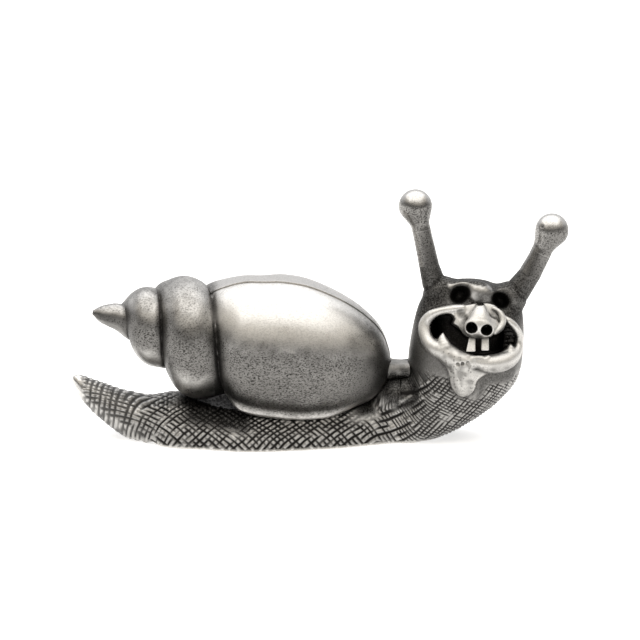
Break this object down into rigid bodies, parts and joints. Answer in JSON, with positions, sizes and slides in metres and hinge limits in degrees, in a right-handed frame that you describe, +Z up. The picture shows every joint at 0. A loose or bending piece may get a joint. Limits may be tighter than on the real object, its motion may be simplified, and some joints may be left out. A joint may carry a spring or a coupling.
{
  "type": "snail figurine",
  "caption": "Antiqued pewter snail ornament with a long spired shell, engraved foot, curled-up tail, knobbed eye stalks and a wide grinning face turned to the side.",
  "frame": {"origin": "on the flat sole, under the middle of the foot", "axes": "+X from the tail to the head, +Z up, and -Y the side that the face looks to"},
  "size_m": [0.07, 0.0202, 0.0356],
  "materials": {
    "engraved_pewter": "cast pewter, engraved, blackened in the cuts and rubbed bright on the lands",
    "shell_pewter": "cast pewter, satin, dark in the grooves and finely speckled",
    "polished_pewter": "cast pewter, hand polished, dark in the recesses",
    "peg_brass": "plain drawn wire"
  },
  "bodies": {
    "root": {"foot": "engraved_pewter", "neck_and_head": "engraved_pewter", "face_mask": "polished_pewter", "tooth_right": "polished_pewter", "tooth_left": "polished_pewter", "eye_stalk_right": "polished_pewter", "eye_stalk_left": "polished_pewter", "eye_knob_right": "polished_pewter", "eye_knob_left": "polished_pewter", "shell_near_half": "shell_pewter", "shell_far_half": "shell_pewter", "shell_spire": "shell_pewter", "neck_bridge": "engraved_pewter", "shell_pegs": "peg_brass", "seam_pegs": "peg_brass", "spire_peg": "peg_brass", "neck_peg": "peg_brass", "stalk_pegs": "peg_brass", "knob_pegs": "peg_brass", "face_peg": "peg_brass"}
  },
  "joints": []
}
